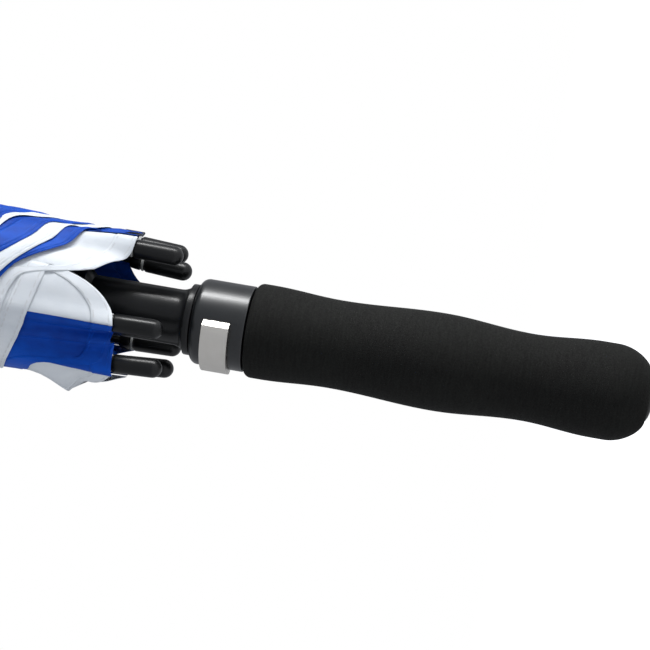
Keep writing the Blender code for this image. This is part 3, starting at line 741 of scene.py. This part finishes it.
def furled_gore(i):
    """Points of the gore between ribs i and i + 1, their places on the flat cloth, and the grid's size."""
    outer = np.linspace(0, 1, 170) ** 1.25
    under = np.linspace(1, 0, 150)[1:] ** 1.5
    front = np.concatenate([np.ones(len(outer)), np.zeros(len(under))])[:, None]
    share = np.concatenate([outer, under])[:, None]
    out_rise = climb(hems[i])
    in_rise = tucked(flaps[i], tucks[i], out_rise)
    length = CROWN_Z - SEAM_Z

    def lay(z, reach):
        radius = rib_radius(z) + 3.2 * MM
        sector = math.radians(STEP) * radius
        width = np.maximum(CHORD * reach, 1.02 * sector)
        tuck = np.radians(tucks[i]) * radius * np.clip(1.3 - (z - SEAM_Z) / (150 * MM), 0, 1)
        tuck = np.minimum(tuck, (width - sector) / 4)
        fold = np.maximum((width + sector - 2 * tuck) / 2, sector * 1.01)
        left = share * (width - fold)
        place = np.where(left < tuck, -left, left - 2 * tuck)
        wound = np.where(front > 0, np.degrees(share * fold / radius), STEP + np.degrees(place / radius))
        across = np.where(front > 0, share * fold, width - left)
        seam_side = (front < 1) & (left < tuck)
        return wound, across, seam_side, np.degrees(left / radius)

    hem = np.full_like(share, SEAM_Z)
    for _ in range(4):
        wound, _, _, back = lay(hem, length)
        hem = SEAM_Z + np.where(front > 0, np.interp(wound, np.arange(721), out_rise),
                                np.interp(back, np.arange(721), in_rise))
    start = hem + HEM_ROWS[-1]
    z = np.concatenate([hem + HEM_ROWS, start + (CLOTH_TOP - start) * LONG_ROWS], axis=1)
    reach = (CROWN_Z - z) * length / (CROWN_Z - hem)
    wound, across, seam_side, _ = lay(z, reach)
    turn = FIRST_RIB + STEP * (i + 1) - wound
    above = z - hem
    gap = layer_gap(z)
    radius = cloth_radius(turn, z, np.maximum(wound, 0), above)
    radius = radius - (1 - front) * 0.45 * gap - seam_side * 0.25 * gap
    radius = radius + 0.35 * MM * (above < 8.4 * MM) * (above > 0.2 * MM)
    points = round_the_shaft(radius, lies_at(turn, z), z)
    return points, np.stack([across, above], -1).reshape(-1, 2), z.shape


print("a gore laid flat is", round(CHORD * (CROWN_Z - SEAM_Z), 3), "m across its hem")


# %% A mesh of cloth
def round_the_shaft(radius, degrees, height):
    """Points at some radius, azimuth and height, as one list."""
    angle = np.radians(degrees)
    return np.stack([radius * np.sin(angle), -radius * np.cos(angle), height], -1).reshape(-1, 3)


def cloth_mesh(name, points, cloth, columns, rows):
    """A grid of quads with its map in metres, named cloth."""
    grid = np.arange(columns * rows).reshape(columns, rows)
    faces = np.stack([grid[:-1, :-1], grid[:-1, 1:], grid[1:, 1:], grid[1:, :-1]], -1).reshape(-1, 4)
    mesh = bpy.data.meshes.new(name)
    mesh.from_pydata(points.tolist(), [], faces.tolist())
    layer = mesh.uv_layers.new(name="cloth")
    corners = np.zeros(len(mesh.loops), int)
    mesh.loops.foreach_get("vertex_index", corners)
    layer.data.foreach_set("uv", cloth[corners].ravel())
    mesh.polygons.foreach_set("use_smooth", np.ones(len(mesh.polygons), bool))
    piece = bpy.data.objects.new(name, mesh)
    bpy.context.collection.objects.link(piece)
    return piece


print("rows of faces in a furled gore:", len(HEM_ROWS) + len(LONG_ROWS) - 1)

# %% Furled gores
for i in range(RIBS):
    place, cloth, (columns, rows) = furled_gore(i)
    colour, name = ((white_cloth, "white"), (blue_cloth, "blue"))[i % 2]
    gore = cloth_mesh(f"furled_gore_{i + 1}", place, cloth, columns, rows)
    dressed(gore, colour, "grip_and_shaft", f"cloth_{name}", f"canopy_panel_{i + 1}")
    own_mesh(gore)

# %% [markdown]
# ## Spread canopy
# Furled cloth can't turn into a spread one by a rule of its own, so the spread gores are pieces of
# their own. Furled, each is a narrow strip that lies hidden between two ribs. Each strip follows one
# rib at one edge and the next rib at the other.

# %% Spread gores
for i in range(RIBS):
    columns, rows = 25, 49
    side, down = np.meshgrid(np.linspace(0.0015, 0.9985, columns), np.linspace(0, 1, rows), indexing="ij")
    bay = 4 * side * (1 - side)
    hem = TIP_Z + 21 * MM + 75 * MM * bay
    z = CLOTH_TOP - 12 * MM - (CLOTH_TOP - 12 * MM - hem) * down
    near_tip = np.clip((TIP_Z + 50 * MM - z) / (20 * MM), 0, 1)
    low = np.exp(-np.maximum(z - TIP_Z - 20 * MM, 0) / (26 * MM))
    radius = rib_radius(z) + 2.25 * MM + near_tip * 2.1 * MM - (6 + 9 * low) * MM * bay ** 0.7
    turns = rib_turn(i, z) * (1 - side) + rib_turn(i + 1, z) * side
    place = round_the_shaft(radius, turns, z)
    cloth = np.stack([side * 0.57 * (CROWN_Z - z) / 0.75, z - hem], -1).reshape(-1, 2)
    strip = cloth_mesh(f"spread_gore_{i + 1}", place, cloth, columns, rows)
    strip.data.materials.append((white_cloth, blue_cloth)[i % 2])
    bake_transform(strip)

# %% [markdown]
# ## Crown rosette
# Where eight gores meet there is a hole for the shaft, and a short skirt of cloth hangs over it from
# under the cap. It hangs free when the umbrella is furled.

# %% Crown rosette
turn, down = np.meshgrid(np.linspace(0, 360, 97), np.linspace(0, 1, 14), indexing="ij")
z = (CROWN + 5.2 - 13.5 * down) * MM
radius = (15.4 + 2.6 * down ** 0.7 + 0.35 * down * np.sin(np.radians(turn * 8))) * MM
cloth = np.stack([np.radians(turn) * 0.017, (1 - down) * 0.0138], -1).reshape(-1, 2)
rosette = cloth_mesh("crown_rosette", round_the_shaft(radius, turn, z), cloth, *turn.shape)
dressed(rosette, blue_cloth, "grip_and_shaft", "cloth_blue")
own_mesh(rosette)

# %% [markdown]
# ## Tie strap
# A strap of the blue cloth holds the furled canopy. It goes once round the bundle and its end lies
# over its start. It is two layers of cloth sewn flat, so the band is given their thickness.

# %% Tie strap
strap_low, strap_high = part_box("tie_strap")
middle_z = (strap_low.z + strap_high.z) / 2
STRAP_R, LAPPED = 40.4 * MM, 372
turn, up_it = np.meshgrid(np.linspace(0, LAPPED, 121), np.linspace(-8, 8, 9) * MM, indexing="ij")
z = middle_z + up_it + 0.4 * MM * np.sin(np.radians(turn * 2))
radius = STRAP_R + 0.9 * MM * np.clip((turn - 340) / 20, 0, 1) + 0.25 * MM * np.sin(np.radians(turn * 3))
cloth = np.stack([np.radians(turn) * STRAP_R, 0.012 - np.abs(up_it)], -1).reshape(-1, 2)
strap = cloth_mesh("tie_band", round_the_shaft(radius, turn - 60, z), cloth, *turn.shape)
pick(strap)
thick = strap.modifiers.new("thick", "SOLIDIFY")
thick.thickness, thick.offset = 0.7 * MM, 0
bpy.ops.object.modifier_apply(modifier="thick")
dressed(strap, blue_cloth, "rib_1", "cloth_blue", "tie_strap")
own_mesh(strap)

# %% [markdown]
# ## Finishes for the mechanical parts
# The rods, pins, wires and the shaft keep the shapes of the mechanical model, so they only need their
# finishes. One of the materials above takes the place of whatever each material slot holds.

# %% Finishes for the mechanical parts
STEEL_PARTS = ("handle_pin", "button_spring", "crown_wire", "runner_wire", "slider_wire", "opening_spring")
painted = 0
for name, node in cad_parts.items():
    if name.startswith("strut") or name in STEEL_PARTS:
        look = plated_steel
    elif name == "shaft_tube":
        look = shaft_paint
    elif name.startswith(("rib_tip", "butt", "crown", "slider", "runner")):
        look = black_nylon
    elif name.startswith(("rib", "stretcher")):
        look = rod_glass
    elif name in ("latch_plate", "handle_core"):
        look = collar_lacquer
    else:
        continue
    for slot in node.material_slots:
        slot.material = look
    painted += 1
print("mechanical parts with a finish:", painted)

# %% [markdown]
# ## Studio
# A long soft lamp along the +X side, which is up for the rolled camera, gives the bright line along
# the collar and the shine of the tips. Two weak lamps open the shadows and don't show in
# reflections. The background is white to the camera but dim in reflections, so black stays black.

# %% World
IN_GLOSS = 0.25    # how bright the background is in a reflection


def background_mask(tree):
    """1 where the camera looks straight or through glass at the background, and less in reflections."""
    path = tree.nodes.new("ShaderNodeLightPath")
    seen = Flow(tree, path.outputs["Is Camera Ray"])
    seen = seen.maths("MAXIMUM", seen, Flow(tree, path.outputs["Is Glossy Ray"]) * IN_GLOSS)
    return seen.maths("MAXIMUM", seen, Flow(tree, path.outputs["Is Transmission Ray"]))


world = bpy.data.worlds.new("studio")
world.use_nodes = True
bpy.context.scene.world = world
tree = world.node_tree
tree.nodes.clear()
seen = background_mask(tree)
soft = seen.node("ShaderNodeBackground", {}, {"Color": (0.8, 0.86, 1.0, 1), "Strength": 0.22})
white = seen.node("ShaderNodeBackground", {}, {"Color": (1, 1, 1, 1), "Strength": 1.0})
both = seen.node("ShaderNodeMixShader", {}, {0: seen, 1: soft, 2: white})
seen.node("ShaderNodeOutputWorld", {}, {"Surface": both})
print("world:", world.name)

# %% Floor
clear_selection()
bpy.ops.mesh.primitive_plane_add(size=12, location=(0, 0, -0.0005))
floor = bpy.context.object
floor.name = "floor"
paper = bpy.data.materials.new("studio_paper")
paper.use_nodes = True
tree = paper.node_tree
tree.nodes.clear()
seen = background_mask(tree)
matt = seen.node("ShaderNodeBsdfDiffuse", {}, {"Color": (0.9, 0.9, 0.9, 1)})
glow = seen.node("ShaderNodeEmission", {}, {"Color": (1, 1, 1, 1), "Strength": seen * 0.92})
both = seen.node("ShaderNodeAddShader", {}, {0: matt, 1: glow})
seen.node("ShaderNodeOutputMaterial", {}, {"Surface": both})
floor.data.materials.append(paper)
print("floor:", paper.name)


# %% Lamps
def lamp(name, place, towards, size, power, shines=True):
    """An area lamp that faces a point. One that doesn't shine is left out of reflections."""
    light = bpy.data.lights.new(name, "AREA")
    light.shape, light.size, light.size_y = "RECTANGLE", *size
    light.energy = power
    holder = bpy.data.objects.new(name, light)
    holder.matrix_world = (Matrix.Translation(place)
                           @ (Vector(place) - Vector(towards)).to_track_quat("Z", "Y").to_matrix().to_4x4())
    holder.visible_glossy = shines
    bpy.context.collection.objects.link(holder)


lamp("long_soft_lamp", (1.0, -0.22, 0.25), (0, 0, 0.15), (0.18, 0.9), 14)
lamp("front_lamp", (-0.4, -1.3, 0.7), (0, 0, 0.15), (0.8, 0.8), 2.2, shines=False)
lamp("low_card", (-0.8, -0.5, 0.4), (0, 0, 0.25), (0.3, 0.3), 1.3, shines=False)
print("lamps and paper are up")

# %% [markdown]
# ## View transform
# The scene is shown with the Standard view transform.

# %% View transform
bpy.context.scene.view_settings.view_transform = "Standard"
